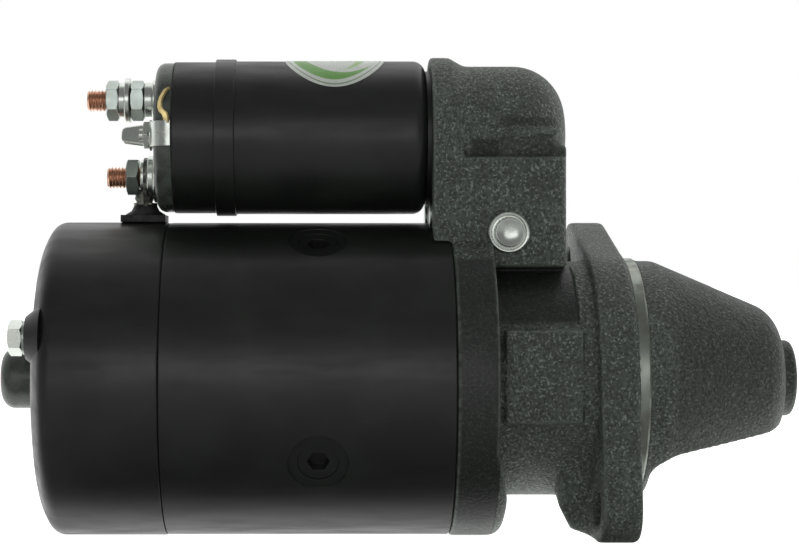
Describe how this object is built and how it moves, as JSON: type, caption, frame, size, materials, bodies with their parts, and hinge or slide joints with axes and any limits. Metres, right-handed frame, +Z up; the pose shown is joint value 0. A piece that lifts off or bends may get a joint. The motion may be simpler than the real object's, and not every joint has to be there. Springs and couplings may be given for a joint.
{
  "type": "starter motor",
  "caption": "Pre-engaged starter motor: round yoke, iron drive-end housing with two-bolt flange and closed nose, solenoid with copper terminals on top.",
  "frame": {"origin": "where the shaft's axis meets the front face of the mounting flange, which is the centre of the pilot's rear edge", "axes": "+X along the shaft towards the nose, +Z up towards the solenoid, +Y to the side away from the pivot screw's head"},
  "size_m": [0.292, 0.1158, 0.1766],
  "materials": {
    "housing_iron": "sand-cast iron, thin black paint",
    "black_paint": "satin black paint on pressed steel",
    "black_plastic": "moulded black plastic",
    "zinc_steel": "bright zinc plating",
    "steel": "machined steel",
    "iron_core": "soft iron",
    "stud_copper": "copper, threaded",
    "winding_copper": "lacquered copper",
    "bronze": "sintered bronze",
    "brass_strap": "brass",
    "carbon": "carbon and copper",
    "spring_steel": "spring steel",
    "black_rubber": "moulded rubber",
    "braid": "tinned copper braid",
    "label_film": null
  },
  "bodies": {
    "root": {"drive_end_housing": "housing_iron", "field_frame": "black_paint", "commutator_end_cover": "black_paint", "bearing_cap": "black_plastic", "bearing_cap_screws": "zinc_steel", "through_bolts": "zinc_steel", "through_bolt_washers": "zinc_steel", "pole_shoes": "iron_core", "pole_screws": "black_paint", "field_coils": "winding_copper", "brush_plate": "steel", "brush_spring_top": "spring_steel", "brush_spring_bottom": "spring_steel", "brush_spring_near": "spring_steel", "brush_spring_far": "spring_steel", "commutator_bush": "bronze", "middle_bearing_plate": "steel", "middle_bush": "bronze", "nose_bush": "bronze", "pivot_screw": "zinc_steel", "solenoid_case": "black_paint", "solenoid_cap": "black_plastic", "solenoid_gasket": "black_rubber", "solenoid_coil": "winding_copper", "solenoid_core": "iron_core", "plunger_spring": "spring_steel", "contact_spring": "spring_steel", "battery_stud": "stud_copper", "motor_stud": "stud_copper", "battery_nuts": "zinc_steel", "motor_nut": "zinc_steel", "terminal_washers": "zinc_steel", "field_lead": "braid", "lead_grommet": "black_rubber", "control_terminal": "zinc_steel", "control_terminal_nut": "zinc_steel", "solenoid_screws": "zinc_steel", "solenoid_label": "label_film"},
    "armature": {"armature_shaft": "steel", "armature_core": "iron_core", "armature_winding": "winding_copper", "commutator": "stud_copper", "stop_ring": "steel"},
    "drive": {"drive_sleeve": "steel", "clutch_rollers": "steel", "clutch_cover": "steel", "sleeve_ring": "spring_steel", "meshing_spring": "spring_steel"},
    "pinion": {"pinion": "steel", "pinion_bush": "bronze"},
    "collar": {"shift_collar": "steel"},
    "lever": {"shift_lever": "steel"},
    "plunger": {"plunger": "iron_core", "plunger_spring_seat": "steel"},
    "contact": {"contact_rod": "steel", "contact_bridge": "stud_copper"},
    "brush_top": {"brush_top": "carbon"},
    "brush_bottom": {"brush_bottom": "carbon"},
    "brush_near": {"brush_near": "carbon"},
    "brush_far": {"brush_far": "carbon"}
  },
  "joints": [
    {"name": "armature_spin", "type": "hinge", "parent": "root", "child": "armature", "pos_m": [-0.1, 0, 0], "axis": [1, 0, 0], "continuous": true},
    {"name": "drive_slide", "type": "slide", "parent": "armature", "child": "drive", "axis": [1, 0, 0], "range_m": [0, 0.01671]},
    {"name": "pinion_overrun", "type": "hinge", "parent": "drive", "child": "pinion", "pos_m": [0.015, 0, 0], "axis": [1, 0, 0], "continuous": true},
    {"name": "collar_slide", "type": "slide", "parent": "root", "child": "collar", "axis": [1, 0, 0], "range_m": [0, 0.01672]},
    {"name": "lever_pivot", "type": "hinge", "parent": "root", "child": "lever", "pos_m": [-0.0441, 0, 0.0534], "axis": [0, -1, 0], "range_deg": [0, 18.02]},
    {"name": "plunger_slide", "type": "slide", "parent": "root", "child": "plunger", "axis": [-1, 0, 0], "range_m": [0, 0.01118], "stiffness_N_per_m": 1500, "springref_m": -0.006, "deforming": ["plunger_spring"]},
    {"name": "contact_slide", "type": "slide", "parent": "root", "child": "contact", "axis": [-1, 0, 0], "range_m": [0, 0.0025], "deforming": ["contact_spring"]},
    {"name": "brush_top_slide", "type": "slide", "parent": "root", "child": "brush_top", "axis": [0, 0, 1], "range_m": [0, 0.005], "stiffness_N_per_m": 800, "springref_m": -0.008, "deforming": ["brush_spring_top"]},
    {"name": "brush_bottom_slide", "type": "slide", "parent": "root", "child": "brush_bottom", "axis": [0, 0, -1], "range_m": [0, 0.005], "stiffness_N_per_m": 800, "springref_m": -0.008, "deforming": ["brush_spring_bottom"]},
    {"name": "brush_near_slide", "type": "slide", "parent": "root", "child": "brush_near", "axis": [0, -1, 0], "range_m": [0, 0.005], "stiffness_N_per_m": 800, "springref_m": -0.008, "deforming": ["brush_spring_near"]},
    {"name": "brush_far_slide", "type": "slide", "parent": "root", "child": "brush_far", "axis": [0, 1, 0], "range_m": [0, 0.005], "stiffness_N_per_m": 800, "springref_m": -0.008, "deforming": ["brush_spring_far"]}
  ],
  "couplings": [
    {"joint": "collar_slide", "follows": "drive_slide", "ratio": 1},
    {"joint": "lever_pivot", "follows": "drive_slide", "rad_per_m": 18.804},
    {"joint": "plunger_slide", "follows": "drive_slide", "ratio": 0.66852},
    {"joint": "contact_slide", "follows": "drive_slide", "ratio": 0.14904}
  ]
}
